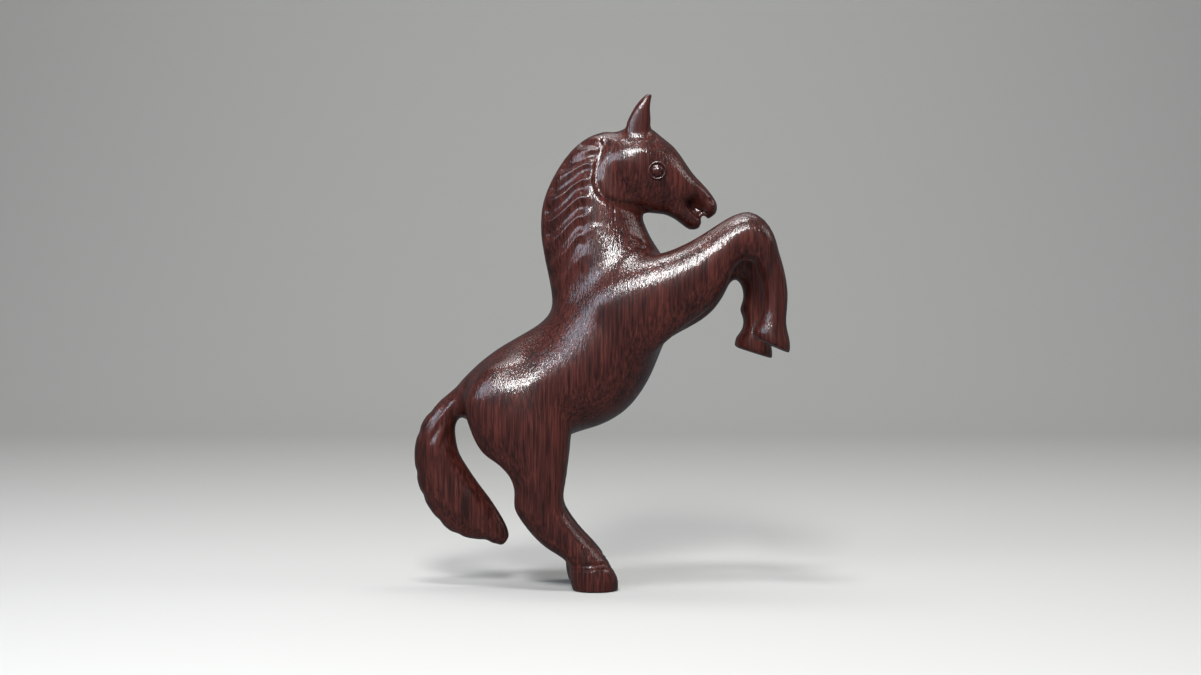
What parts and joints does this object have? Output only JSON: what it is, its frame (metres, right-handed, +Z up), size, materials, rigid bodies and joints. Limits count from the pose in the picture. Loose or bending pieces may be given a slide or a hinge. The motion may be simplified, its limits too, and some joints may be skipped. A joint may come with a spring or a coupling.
{
  "type": "carved horse figurine",
  "caption": "Rearing horse carved in dark reddish lacquered wood, standing on its hind hooves, with a relief-carved mane, curved tail and turned button eyes.",
  "frame": {"origin": "bottom centre of the bounding box, on the floor under the figurine", "axes": "+X towards the horse's nose, +Y towards the horse's left, +Z up"},
  "size_m": [0.1863, 0.058, 0.244],
  "materials": {
    "carved_wood": "gloss lacquer over dark reddish-brown stain",
    "eye_wood": "gloss lacquer, turned",
    "dowel_wood": "bare, hidden inside the joints"
  },
  "bodies": {
    "root": {"barrel_and_neck": "carved_wood", "rump": "carved_wood", "head": "carved_wood", "tail": "carved_wood", "right_foreleg": "carved_wood", "right_fore_shank": "carved_wood", "left_foreleg": "carved_wood", "left_fore_shank": "carved_wood", "right_hind_leg": "carved_wood", "left_hind_leg": "carved_wood", "right_ear": "carved_wood", "left_ear": "carved_wood", "right_eye": "eye_wood", "left_eye": "eye_wood", "rump_dowels": "dowel_wood", "hip_dowels": "dowel_wood", "shoulder_dowels": "dowel_wood", "head_dowels": "dowel_wood", "knee_dowels": "dowel_wood", "tail_dowel": "dowel_wood", "ear_pegs": "dowel_wood"}
  },
  "joints": []
}
